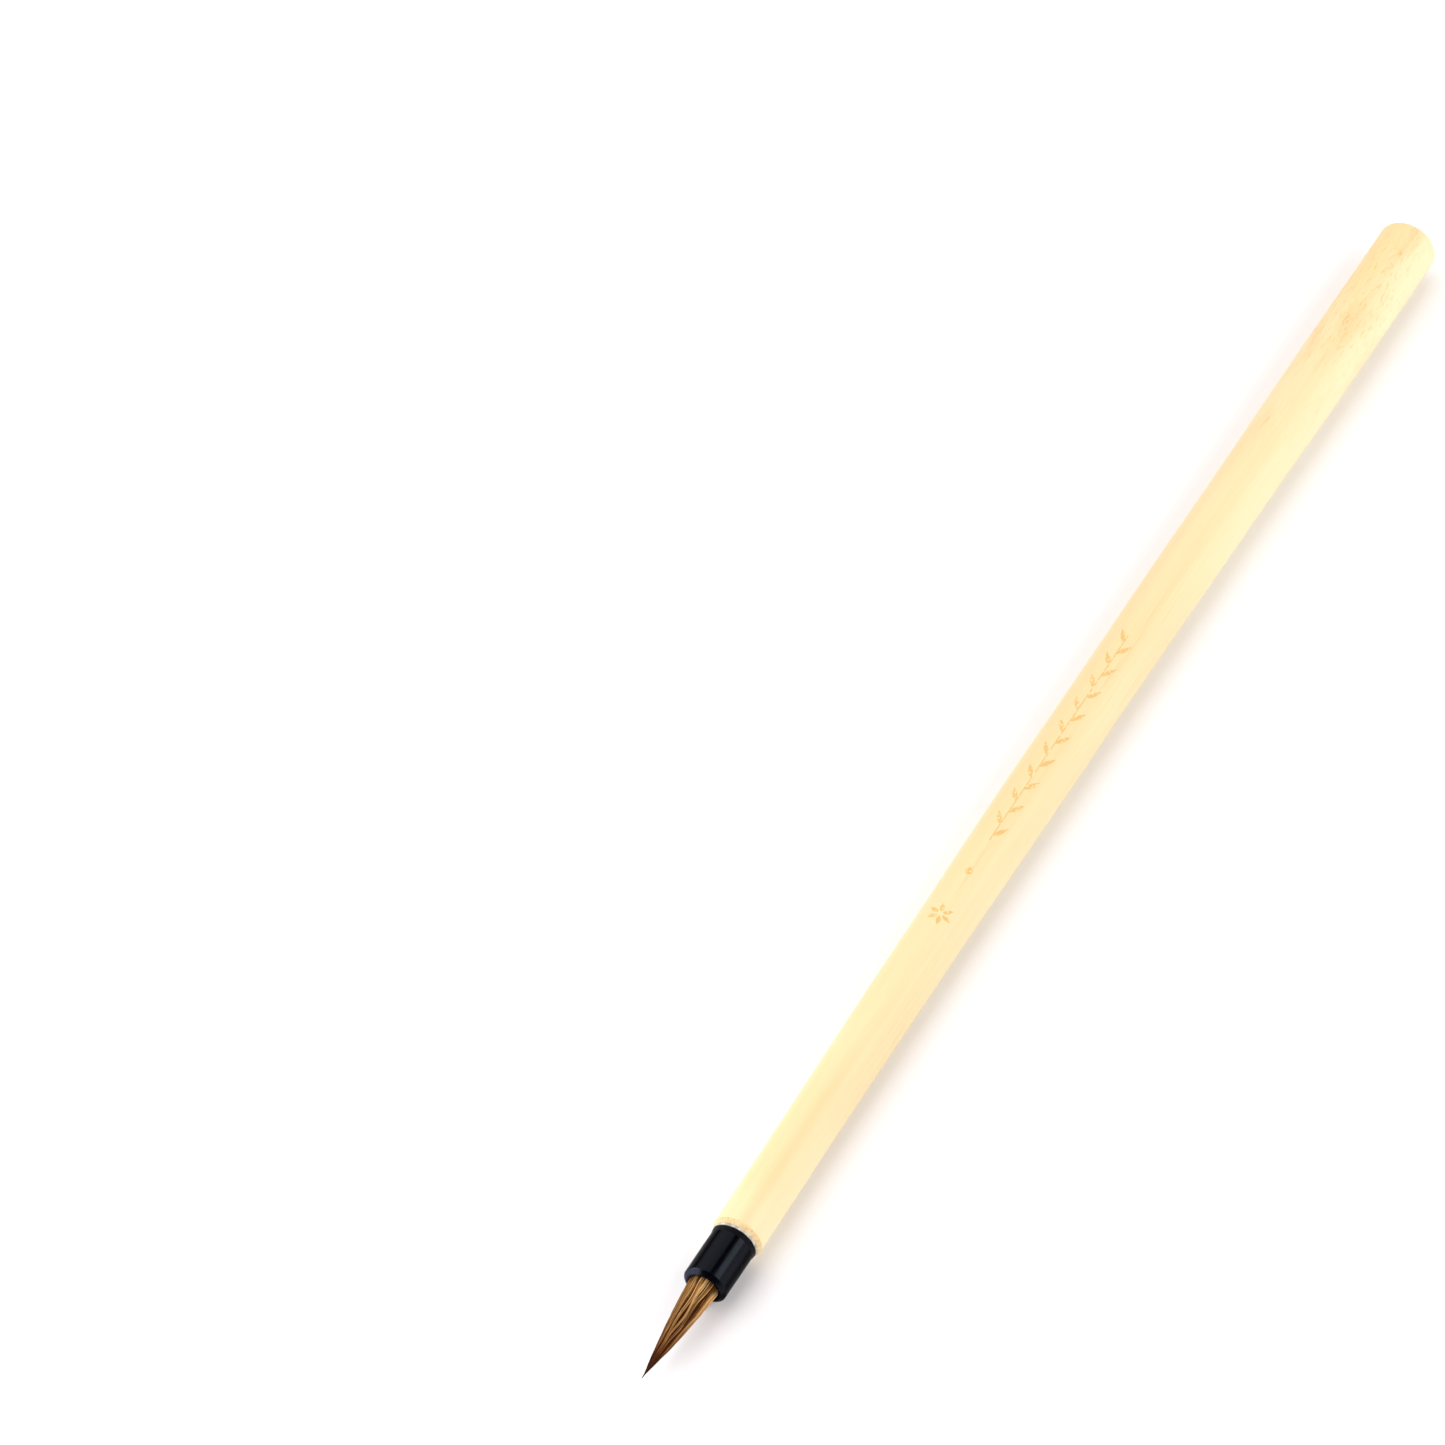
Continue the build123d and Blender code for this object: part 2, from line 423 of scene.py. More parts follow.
def bamboo_skin():
    """Pale smooth culm skin with painted shade along one side and painted light on the other, and
    stains, specks and scuffs by the butt.
    """
    s = Shader("bamboo_skin", roughness=0.42, specular=0.4, coat=0.12, coat_roughness=0.3)
    x, y = s.place_parts()
    fibres = s.noise((22, 3600, 3600), detail=6, roughness=0.7)
    tone = side_shaded_skin(s, fresh_skin(s, fibres), x, y)
    tone, scuffs = stained_butt(s, tone, x, y)
    s.colour(tone)
    s.rough(s.levels(fibres, 0.3, 0.7, 0.36, 0.50))
    grain = s.bump(fibres, 0.35, 0.00004)
    s.bump(scuffs, 0.3, 0.00003, below=grain)
    return s.material


def bamboo_end_grain():
    """Cut end of the culm: tan ground with the dark dots of the fibre bundles."""
    s = Shader("bamboo_end_grain", roughness=0.75, specular=0.25)
    bundles = s.cells((600, 3300, 3300))
    ground = s.ramp(
        s.noise((900, 900, 900), detail=4),
        (0.3, linear(214, 186, 132)),
        (0.7, linear(228, 206, 160)),
    )
    s.colour(s.mix(s.levels(bundles, 0.18, 0.42, 0.4, 0.0), ground, linear(172, 132, 80)))
    s.bump(bundles, 0.6, 0.00006)
    return s.material


def black_plastic():
    """Moulded glossy plastic: faint draw lines, fine scratches, and a painted grey reflection on the
    front rim's -Y side.
    """
    s = Shader("black_plastic", roughness=0.12, specular=0.14)
    s.surface.inputs["Specular Tint"].default_value = (0.62, 0.8, 1.0, 1)
    facing = s.facing()
    gloss_ahead = s.levels(facing, 0.07, 0.17, 0.1, 1.0)
    gloss_aside = s.levels(facing, 0.26, 0.46, 0.125, 0.012)
    s.link(s.product(gloss_ahead, gloss_aside), s.surface, "Specular IOR Level")
    lines = s.noise((60, 2600, 2600), detail=4)
    scratches = s.noise((1400, 500, 500), detail=6, roughness=0.7, offset=(5, 2, 8))
    tone = s.ramp(lines, (0.3, linear(1, 1, 4)), (0.7, linear(5, 6, 10)))
    x, y = s.place_parts()
    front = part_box("ferrule")[1].x
    # Painted reflection: the front rim greyer on its -Y side, broken up by the scratch noise.
    rim = s.levels(x, front - 0.6 * MM, front - 0.35 * MM)
    reflecting_side_mask = s.levels(y, -0.2 * MM, -1.1 * MM)
    painted_rim_reflection = s.product(s.product(rim, reflecting_side_mask), s.levels(scratches, 0.3, 0.6, 0.55, 1.0))
    s.colour(s.mix(painted_rim_reflection, tone, linear(52, 56, 70)))
    s.rough(s.levels(scratches, 0.35, 0.7, 0.10, 0.24))
    s.bump(lines, 0.15, 0.00002)
    return s.material


def dull_black_plastic():
    """The same plastic where it is scuffed dull."""
    s = Shader("dull_black_plastic", roughness=0.5, specular=0.06)
    scuffs = s.noise((1800, 1800, 1800), detail=5, roughness=0.7)
    s.colour(s.ramp(scuffs, (0.4, linear(1, 1, 3)), (0.75, linear(12, 12, 15))))
    s.bump(scuffs, 0.3, 0.00003)
    return s.material


def dried_glue():
    """Whitish glue that dried in a wavy bead."""
    s = Shader("dried_glue", roughness=0.32, specular=0.5)
    lumps = s.noise((1600, 1600, 1600), detail=3)
    s.colour(s.ramp(lumps, (0.35, linear(140, 142, 130)), (0.65, linear(206, 206, 194))))
    s.bump(lumps, 0.5, 0.0001)
    return s.material


def printed_ink():
    """Thin gold-tan print, worn so that the skin shows through in specks."""
    s = Shader("printed_ink", roughness=0.5, specular=0.3)
    wear = s.noise((2600, 2600, 2600), detail=3)
    s.colour(s.ramp(wear, (0.36, linear(225, 209, 162)), (0.46, linear(214, 176, 106))))
    return s.material


def hair_material(name, light):
    """Animal hair with a soft sheen, and painted shade at the roots of some hairs by the ferrule.
    hair_shade holds tone, place along the tuft, and chance.
    """
    s = Shader(name, roughness=0.5, specular=0.06)
    tone, along, chance = s.attribute("hair_shade")
    root = s.ramp(
        tone,
        (0.00, linear(56, 24, 4)),
        (0.35, linear(114, 70, 24)),
        (0.70, linear(170, 124, 64)),
        (1.00, linear(228, 190, 130)),
    )
    tip = s.ramp(
        tone,
        (0.00, linear(52, 20, 2)),
        (0.45, linear(88, 44, 10)),
        (1.00, linear(128, 78, 34)),
    )
    mixed = s.mix(s.levels(along, 0.04, 0.85), root, tip)
    cuticle = s.noise((900, 5200, 5200), detail=3)
    mixed = s.mix(s.levels(cuticle, 0.3, 0.7, light, 0.0), mixed, linear(38, 18, 8))
    # Painted shade: some hairs, picked by chance, darker at their roots by the ferrule's mouth.
    painted_root_shade = s.product(s.levels(along, 0.015, 0.085, 0.8, 0.0), s.levels(chance, 0.2, 0.7))
    mixed = s.mix(painted_root_shade, mixed, linear(40, 18, 4))
    s.colour(mixed)
    s.rough(s.levels(chance, 0.0, 1.0, 0.42, 0.6))
    s.bump(cuticle, 0.3, 0.00002)
    return s.material


def plain_grained(name, colour, roughness, scale):
    """Material of a hidden piece: one colour with grain in tone and height."""
    s = Shader(name, roughness=roughness)
    grain = s.noise((scale, scale, scale), detail=4)
    dark = linear(*[0.8 * channel for channel in colour])
    s.colour(s.ramp(grain, (0.3, dark), (0.7, linear(*colour))))
    s.bump(grain, 0.3, 0.00003)
    return s.material


# ------------------------------------------------------------------ bamboo handle

HANDLE_AROUND = 256
FIBRE_PATCH = 34.0
FIBRE_DEPTH = 0.007
SWELL_LENGTH = 15.5
RIPPLE_LENGTH = 7.1
OVAL_TWIST_LENGTH = 40.0

# The bow is a little under a fifth of this at its greatest, and leaves the mouth in place.
BOW = -3.3
BOW_START = -1.0

# How far the cut mouth strays from its round edges
MOUTH_RAGGEDNESS = (-0.03, 0.01)

# The butt's end face
DIMPLE_DEPTH = 0.35
DIMPLE_WIDTH = 0.9
BUTT_FACE_RINGS = 14

# Rings along the skin are closer together over this length by the butt, where the scars are.
SCARRED_LENGTH = 52.0
FINE_STEP = 0.42
COARSE_RINGS = 170


def fibre_profiles(rng):
    """Random groove heights round the culm, one row for each patch of its length."""
    patches = int(-BUTT / FIBRE_PATCH) + 3
    heights = rng.normal(size=(patches, HANDLE_AROUND))
    return (np.roll(heights, 1, 1) + 2 * heights + np.roll(heights, -1, 1)) / 4


def scars(rng, count=70):
    """Small long scars in the skin, most of them near the butt: (x, angle, length, width, depth)."""
    from_butt = rng.exponential(26.0, count)
    return np.column_stack(
        [
            BUTT + 4 + np.minimum(from_butt, -BUTT - 12),
            rng.uniform(0, 2 * math.pi, count),
            rng.uniform(0.5, 1.5, count),
            rng.uniform(0.14, 0.32, count),
            rng.uniform(0.015, 0.05, count),
        ]
    )


def handle_radius(x):
    """The culm's slow taper, a little slimmer than the CAD handle."""
    behind = np.clip(x / BUTT, 0, 1)
    return GRIP_RADIUS - CULM_SLIMMER + (BUTT_RADIUS - GRIP_RADIUS) * behind


class CulmRelief:
    """How far the culm's skin stands off its plain taper, at a station and an array of angles."""

    def __init__(self, seed):
        rng = np.random.default_rng(seed)
        self.profiles = fibre_profiles(rng)
        self.scars = scars(rng)
        self.phases = rng.uniform(0, 2 * math.pi, 4)

    def shape(self, x, turn):
        """Slow swelling along the culm, and its section's departure from a circle, in millimetres."""
        swell = 0.045 * math.sin(x / SWELL_LENGTH + self.phases[0])
        ripple = 0.03 * math.sin(x / RIPPLE_LENGTH + self.phases[1])
        oval = 0.045 * np.cos(2 * turn + self.phases[2])
        three_sided = 0.02 * np.cos(3 * turn + x / OVAL_TWIST_LENGTH + self.phases[3])
        return swell + ripple + oval + three_sided

    def fibres(self, x, turn):
        """Fine grooves that run along the culm and slowly give way to others."""
        patch = -x / FIBRE_PATCH
        index = int(patch)
        share = patch - index
        grooves = (1 - share) * self.profiles[index] + share * self.profiles[index + 1]
        where = turn / (2 * math.pi) * HANDLE_AROUND
        return FIBRE_DEPTH * np.interp(where, np.arange(HANDLE_AROUND), grooves, period=HANDLE_AROUND)

    def __call__(self, x, turn):
        fade = float(smoothstep(-x, 0.5, 14.0))
        relief = fade * self.shape(x, turn) + self.fibres(x, turn)
        for scar_x, angle, length, width, depth in self.scars:
            if abs(x - scar_x) < 2 * length:
                aside = (turn - angle + math.pi) % (2 * math.pi) - math.pi
                spread = (aside * BUTT_RADIUS / width) ** 2 + ((x - scar_x) / length) ** 2
                relief = relief - depth * np.exp(-spread)
        return relief


def bow(x):
    """Sideways bow of the culm's skin, greatest two fifths of the way to the butt."""
    behind = min(max((x - BOW_START) / (BUTT - BOW_START), 0.0), 1.0)
    return BOW * behind * (1 - behind) ** 1.5


def butt_rows():
    """Rows of handle_profile for the butt: a dimpled end face and a rounded edge."""
    inner = BUTT_RADIUS - CULM_SLIMMER - BUTT_ROUNDING
    rows = []
    for radius in np.linspace(AXIS_HOLE, inner, BUTT_FACE_RINGS):
        dimple = DIMPLE_DEPTH * math.exp(-((radius / DIMPLE_WIDTH) ** 2))
        rows.append((BUTT + dimple, radius, False, 0.0))
    steps = 12
    rounded = arc((BUTT + BUTT_ROUNDING, inner), BUTT_ROUNDING, 180, 90, steps)[1:]
    rows += [(x, radius, True, (index + 1) / steps) for index, (x, radius) in enumerate(rounded)]
    return rows


def skin_rows():
    """Rows of handle_profile for the skin between the two ends."""
    fine = np.arange(BUTT + BUTT_ROUNDING + 0.3, BUTT + SCARRED_LENGTH, FINE_STEP)
    coarse = np.linspace(fine[-1] + 0.6, MOUTH_FACE - MOUTH_BEVEL_LENGTH - 0.06, COARSE_RINGS)
    return [(x, float(handle_radius(x)), True, 1.0) for x in np.concatenate([fine, coarse])]


def mouth_rows():
    """Rows of handle_profile for the bevel, the narrow end face and the socket."""
    mouth_radius = GRIP_RADIUS - MOUTH_BEVEL_DEPTH
    rows = []
    for share in np.linspace(0.04, 1.0, 7):
        sag = 0.05 * math.sin(math.pi * share)
        bevel_x = MOUTH_FACE - MOUTH_BEVEL_LENGTH * (1 - share)
        rim_radius = float(handle_radius(0)) * (1 - share) + mouth_radius * share
        rows.append((bevel_x, rim_radius + sag, False, 1.0))
    for radius in np.linspace(mouth_radius - 0.1, SOCKET_RADIUS, 4):
        rows.append((MOUTH_FACE, radius, False, 0.4))
    for x in np.linspace(-1.0, SPIGOT_BACK, 5):
        rows.append((x, SOCKET_RADIUS, False, 0.0))
    for radius in (2.0, 1.0, AXIS_HOLE):
        rows.append((SPIGOT_BACK, radius, False, 0.0))
    return rows


def handle_profile():
    """(x, radius, is skin, share of relief) from the middle of the butt to the socket's floor."""
    return butt_rows() + skin_rows() + mouth_rows()


def build_handle(relief, skin, end_grain):
    """The culm with its skin relief, cut ends and socket."""
    turn = angles(HANDLE_AROUND)
    rng = np.random.default_rng(11)
    rows, skin_rings = [], []
    for x, radius, is_skin, share in handle_profile():
        radii = radius + share * relief(min(x, 0.0), turn)
        if not is_skin and -MOUTH_BEVEL_LENGTH < x <= MOUTH_FACE and radius > SOCKET_RADIUS + 0.1:
            radii = radii + rng.uniform(*MOUTH_RAGGEDNESS, HANDLE_AROUND)
        aside = bow(x) if is_skin else 0.0
        sideways = radii * np.cos(turn) + aside
        rows.append(np.column_stack([np.full(HANDLE_AROUND, x), sideways, radii * np.sin(turn)]))
        skin_rings.append(is_skin)
    count = len(rows)
    slots = []
    for ring in range(count - 1):
        slots += [0 if skin_rings[ring] or skin_rings[ring + 1] else 1] * HANDLE_AROUND
    slots += [1, 1]
    points = np.concatenate(rows)
    faces = capped_faces(count, HANDLE_AROUND)
    return new_piece("handle_culm", points, faces, [skin, end_grain], slots, sharp_degrees=50)


# ------------------------------------------------------------------ ferrule and glue

FERRULE_AROUND = 192
PARTING_TURNS = (0.9, 0.9 + math.pi)
PARTING_WIDTH = 0.02
MOULDING_RELIEF = 0.012
GLUE_AROUND = 160


def ferrule_profile():
    """Closed (x, radius) loop: spigot, flared collar, barrel with its front bevel, and bore."""
    back, front = GLUE_FRONT, FERRULE_FRONT
    edge, shoulder, lip = 0.12, 0.4, 0.16
    loop = [(SPIGOT_BACK, BORE_RADIUS), (SPIGOT_BACK, SPIGOT_RADIUS), (back, SPIGOT_RADIUS)]
    loop += [(back, COLLAR_RADIUS - 0.14)]
    loop += arc((back + edge, COLLAR_RADIUS - edge), edge, 180, 80, 6)
    loop += [(BARREL_BACK, BARREL_RADIUS)]
    loop += [(x, BARREL_RADIUS) for x in np.linspace(BARREL_BACK + 0.06, front - 0.85, 10)]
    loop += arc((front - 0.62, BARREL_RADIUS - shoulder), shoulder, 90, 46, 7)
    loop += arc((front - lip, BARREL_RADIUS - 0.62), lip, 46, 0, 6)
    loop += arc((front - edge, BORE_RADIUS + edge), edge, 0, -90, 6)
    loop += [(x, BORE_RADIUS) for x in np.linspace(front - 1.0, SPIGOT_BACK + 1.0, 6)]
    return loop


def ferrule_offset(x, turn):
    """Moulding: two faint parting lines, and a trace of sink."""
    from_lines = [np.sin((turn - line) / 2) / PARTING_WIDTH for line in PARTING_TURNS]
    parting = sum(np.exp(-(away**2)) for away in from_lines)
    on_barrel = float(smoothstep(x, BARREL_BACK, BARREL_BACK + 1)) if x < FERRULE_FRONT - 0.2 else 0
    sink = MOULDING_RELIEF * math.sin(x / 3.3 + 0.8)
    return on_barrel * (MOULDING_RELIEF * parting + sink)


def build_ferrule(plastic, dull_plastic):
    """The sleeve. Its collar is dull where the glue was wiped off."""
    loop = ferrule_profile()
    points = turned_points(loop, FERRULE_AROUND, ferrule_offset)
    faces = band_faces(len(loop), FERRULE_AROUND, closed=True)
    slots = []
    for x, _ in loop:
        slots += [1 if x < BARREL_BACK + 0.03 else 0] * FERRULE_AROUND
    materials = [plastic, dull_plastic]
    return new_piece("ferrule_sleeve", points, faces, materials, slots, sharp_degrees=35)


def glue_profile():
    """Closed (x, radius) loop of the film round the spigot and the ring at the handle's mouth."""
    mouth_radius = GRIP_RADIUS - MOUTH_BEVEL_DEPTH
    width = GLUE_FRONT - MOUTH_FACE
    loop = [(SPIGOT_BACK, SPIGOT_RADIUS), (SPIGOT_BACK, SOCKET_RADIUS), (0.0, SOCKET_RADIUS)]
    loop += [(MOUTH_FACE, radius) for radius in (SOCKET_RADIUS + 0.15, mouth_radius - 0.12)]
    shares = (0.04, 0.2, 0.4, 0.6, 0.8, 0.96)
    loop += [(MOUTH_FACE + share * width, mouth_radius) for share in shares]
    loop += [(GLUE_FRONT, radius) for radius in (COLLAR_RADIUS - 0.2, SPIGOT_RADIUS)]
    return loop


def build_glue_bead(glue):
    """Glue round the spigot, with the wavy ring of it that shows between bamboo and plastic."""
    rng = np.random.default_rng(5)
    turn = angles(GLUE_AROUND)
    waves = 0
    for k in range(2, 18):
        waves = waves + rng.uniform(0.3, 1.0) * np.sin(k * turn + rng.uniform(0, 6.3)) / k
    waves = waves / np.abs(waves).max()

    def wavy(x, turn):
        """Hollow in the middle of the ring, fuller where the waves are high."""
        share = (x - MOUTH_FACE) / (GLUE_FRONT - MOUTH_FACE)
        if not 0 < share < 1:
            return 0 * turn
        middle = math.sin(math.pi * share)
        return middle * (0.07 * waves - 0.03) - 0.02

    loop = glue_profile()
    points = turned_points(loop, GLUE_AROUND, wavy)
    faces = band_faces(len(loop), GLUE_AROUND, closed=True)
    return new_piece("glue_bead", points, faces, [glue])


# ------------------------------------------------------------------ printed ornament

PRINT_TURN = math.radians(90)
PETALS = 6
FLOWER_HEART = 0.4
LEAVES = 18
LEAF_LENGTH = 2.6
LEAF_WIDTH = 0.66
STEM_HALF_WIDTH = 0.08
FLOWER_PLACE = -59.3
DOT_PLACE = -67.8
STEM_PLACE = -73.8
STEM_LENGTH = 42.0
PRINT_RISE = 0.012
PRINT_DEPTH = 0.05


def stamp(rows, relief, points, faces):
    """Adds a thin closed patch bent onto the culm's skin. rows are (left, middle, right) places."""
    count, base = len(rows), len(points)
    for height in (-PRINT_DEPTH, PRINT_RISE):
        for row in rows:
            for x, aside in row:
                turn = PRINT_TURN - aside / float(handle_radius(x))
                skin = float(handle_radius(x)) + float(relief(x, np.array([turn]))[0]) + height
                points.append((x, skin * math.cos(turn) + bow(x), skin * math.sin(turn)))

    def corner(level, row, column):
        return base + (level * count + row) * 3 + column

    for row in range(count - 1):
        for column in (0, 1):
            for level in (0, 1):
                face = [
                    corner(level, row, column),
                    corner(level, row, column + 1),
                    corner(level, row + 1, column + 1),
                    corner(level, row + 1, column),
                ]
                faces.append(tuple(reversed(face) if level else face))
        for column in (0, 2):
            side = [
                corner(0, row, column),
                corner(1, row, column),
                corner(1, row + 1, column),
                corner(0, row + 1, column),
            ]
            faces.append(tuple(reversed(side) if column == 0 else side))
    for row in (0, count - 1):
        for column in (0, 1):
            end = [
                corner(0, row, column),
                corner(0, row, column + 1),
                corner(1, row, column + 1),
                corner(1, row, column),
            ]
            faces.append(tuple(reversed(end) if row == 0 else end))


def ribbon(x, aside, length, lean, half_width_at, steps):
    """Rows of a flat shape that starts at (x, aside) and leans this many degrees from the brush."""
    turn = math.radians(lean)
    cosine, sine = math.cos(turn), math.sin(turn)
    rows = []
    for step in range(steps + 1):
        reach = length * step / steps
        half = max(half_width_at(step / steps), 0.02)
        row = []
        for across in (-half, 0.0, half):
            row.append((x + reach * cosine - across * sine, aside + reach * sine + across * cosine))
        rows.append(row)
    return rows


def leaf(x, aside, length, width, lean):
    """Rows of a pointed leaf."""

    def half_width_at(share):
        return width / 2 * math.sin(math.pi * share**0.8)

    return ribbon(x, aside, length, lean, half_width_at, 9)


def build_print(relief, ink):
    """A flower, a dot and a sprig of leaves, in place of a maker's print."""
    points, faces = [], []
    for petal in range(PETALS):
        lean = petal * 360 / PETALS + 12
        x = FLOWER_PLACE + FLOWER_HEART * math.cos(math.radians(lean))
        aside = FLOWER_HEART * math.sin(math.radians(lean))
        stamp(leaf(x, aside, 1.5, LEAF_WIDTH, lean), relief, points, faces)
    stamp(leaf(DOT_PLACE + 0.7, 0.0, 1.4, 1.1, 180), relief, points, faces)
    stem = ribbon(STEM_PLACE, 0.0, STEM_LENGTH, 180, lambda share: STEM_HALF_WIDTH, 40)
    stamp(stem, relief, points, faces)
    for i in range(LEAVES):
        x = STEM_PLACE - STEM_LENGTH * (i + 0.42) / LEAVES
        side = 1 if i % 2 == 0 else -1
        sprout = leaf(x, STEM_HALF_WIDTH * side, LEAF_LENGTH, LEAF_WIDTH, 180 - 30 * side)
        stamp(sprout, relief, points, faces)
    return new_piece("printed_sprig", points, faces, [ink], sharp_degrees=80)


# ------------------------------------------------------------------ hair

STRAND_SIDES = 5
LOCKS = 15
MANTLE_STRANDS = 330
CORE_STRANDS = 230
CORE_SHARE = 0.7
ENDING_LENGTH = 3.5


def ahead_share(x):
    """How far along the showing hair x lies: 0 at the ferrule's mouth, 1 at the point."""
    return np.clip((x - FERRULE_FRONT) / HAIR_LENGTH, 0, 1)


def tuft_radius(x):
    """Outer radius of the hair: a waist under the thread, full to the mouth, then a fine point."""
    waist = HAIR_WAIST + (HAIR_RADIUS - HAIR_WAIST) * smoothstep(x, THREAD_FRONT, THREAD_FRONT + 2)
    share = ahead_share(x)
    fullness = HAIR_FULLNESS_ROOT + (HAIR_FULLNESS_POINT - HAIR_FULLNESS_ROOT) * share
    return np.maximum(HAIR_POINT_RADIUS, waist * (1 - share**fullness))


def zone_cuts():
    """Where the hair is divided: halfway between bends, where it follows one body only."""
    middles = [(a + b) / 2 for a, b in zip(BEND_STATIONS, BEND_STATIONS[1:])]
    return [ROOT_END, *middles, POINT]


def hair_stations():
    """Stations at which every strand has a ring of points, closer together towards the point."""
    cuts = zone_cuts()
    inside = [ROOT_END, THREAD_FRONT, THREAD_FRONT + 2, 6.0, FERRULE_FRONT - 0.6]
    outside = np.linspace(FERRULE_FRONT + 0.1, POINT, 30)
    return np.unique(np.round(np.concatenate([inside, cuts, outside]), 4))


class Locks:
    """The locks that the hairs gather in: where each starts, how it sways, and its tone."""

    def __init__(self, seed):
        rng = np.random.default_rng(seed)
        self.turn = angles(LOCKS) + rng.uniform(-0.13, 0.13, LOCKS)
        self.sway = rng.uniform(0.05, 0.17, LOCKS) * rng.choice([-1, 1], LOCKS)
        self.waves = rng.uniform(1.2, 2.4, LOCKS)
        self.phase = rng.uniform(0, 2 * math.pi, LOCKS)
        self.tone = rng.uniform(-0.24, 0.22, LOCKS)

    def nearest(self, turn):
        """The nearest lock, and how far this angle is from its middle."""
        offsets = (turn - self.turn + math.pi) % (2 * math.pi) - math.pi
        lock = int(np.argmin(np.abs(offsets)))
        return lock, offsets[lock]

    def swaying(self, lock, ahead):
        """How far the lock has swayed round the tuft, most at mid length."""
        wave = np.sin(self.phase[lock] + 2 * math.pi * self.waves[lock] * ahead)
        return self.sway[lock] * wave * np.sin(math.pi * np.clip(ahead * 1.25, 0, 1))


def strands(rng, count, depth, tones, reach, thickness, gather):
    """Random hairs of one layer. The arguments after count are (low, high) ranges."""
    return {
        "turn": rng.uniform(0, 2 * math.pi, count),
        "depth": rng.uniform(*depth, count),
        "tone": rng.uniform(*tones, count),
        "end": FERRULE_FRONT + HAIR_LENGTH * rng.uniform(*reach, count),
        "thick": rng.uniform(*thickness, count),
        "chance": rng.uniform(0, 1, count),
        "drift": rng.normal(0, 0.05, count),
        "gather": rng.uniform(*gather, count),
    }


def strand_path(layer, index, x, locks):
    """Angle, radius and thickness of one hair at stations x."""
    ahead = ahead_share(x)
    lock, offset = locks.nearest(layer["turn"][index])
    gathered = 1 - layer["gather"][index] * (0.45 + 0.55 * smoothstep(ahead, 0, 0.25))
    turn = locks.turn[lock] + offset * gathered + locks.swaying(lock, ahead)
    turn = turn + layer["drift"][index] * ahead
    from_middle = min(abs(offset) / (math.pi / LOCKS), 1.0)
    sunk = 0.16 * from_middle**2 * (0.6 + 0.4 * smoothstep(ahead, 0, 0.15))
    taken_in = 0.2 * smoothstep(x, layer["end"][index] - 3.0, layer["end"][index])
    outer = tuft_radius(x)
    slimmer = (outer / HAIR_RADIUS) ** 0.6
    ending = 1 - 0.85 * smoothstep(x, layer["end"][index] - ENDING_LENGTH, layer["end"][index])
    thick = layer["thick"][index] * slimmer * ending
    radius = np.maximum(outer * layer["depth"][index] * (1 - sunk - taken_in) - thick, 0)
    return turn, radius, thick


def strand_mesh(layer, index, x, locks):
    """Points, faces and shades of one hair over stations x."""
    turn, radius, thick = strand_path(layer, index, x, locks)
    around = angles(STRAND_SIDES)
    centre_y, centre_z = radius * np.cos(turn), radius * np.sin(turn)
    ys = centre_y[:, None] + thick[:, None] * np.cos(around)[None]
    zs = centre_z[:, None] + thick[:, None] * np.sin(around)[None]
    xs = np.repeat(x[:, None], STRAND_SIDES, 1)
    points = np.stack([xs, ys, zs], 2).reshape(-1, 3)
    lock, _ = locks.nearest(layer["turn"][index])
    tone = np.clip(layer["tone"][index] + locks.tone[lock], 0, 1)
    rows = len(x)
    chance = np.full(rows, layer["chance"][index])
    shade = np.column_stack([np.full(rows, tone), ahead_share(x), chance, np.ones(rows)])
    return points, capped_faces(rows, STRAND_SIDES), np.repeat(shade, STRAND_SIDES, 0)


def inner_body(x, share):
    """Solid heart of the tuft under the hairs, so that no light comes through. Its near-black tone is
    painted shade.
    """
    around = 48
    points = turned_points([(s, share * float(tuft_radius(s))) for s in x], around)
    rows = len(x)
    # Painted shade: the heart takes the darkest hair tone.
    tone, chance = np.full(rows, 0.05), np.full(rows, 0.5)
    shade = np.column_stack([tone, ahead_share(x), chance, np.ones(rows)])
    return points, capped_faces(rows, around), np.repeat(shade, around, 0)


def hair_piece(name, parts, material):
    """One mesh of many closed strands, with the hair_shade attribute."""
    points = np.concatenate([part[0] for part in parts])
    shades = np.concatenate([part[2] for part in parts])
    faces, base = [], 0
    for part_points, part_faces, _ in parts:
        faces += [tuple(base + corner for corner in face) for face in part_faces]
        base += len(part_points)
    piece = new_piece(name, points, faces, [material], sharp_degrees=75)
    shade = piece.data.attributes.new("hair_shade", "FLOAT_COLOR", "POINT")
    shade.data.foreach_set("color", shades.astype(np.float32).ravel())
    return piece


def zone_stations(zone):
    """The stations within one of the three lengths, both of its cuts included."""
    cuts = zone_cuts()
    stations = hair_stations()
    inside = (stations >= cuts[zone] - 1e-3) & (stations <= cuts[zone + 1] + 1e-3)
    return stations[inside]


def layer_parts(layer, x, locks):
    """Meshes of the layer's hairs within stations x, each cut off at its own end."""
    parts = []
    for index in range(len(layer["turn"])):
        kept = x[x <= layer["end"][index] + 1e-6]
        if len(kept) > 1:
            parts.append(strand_mesh(layer, index, kept, locks))
    return parts


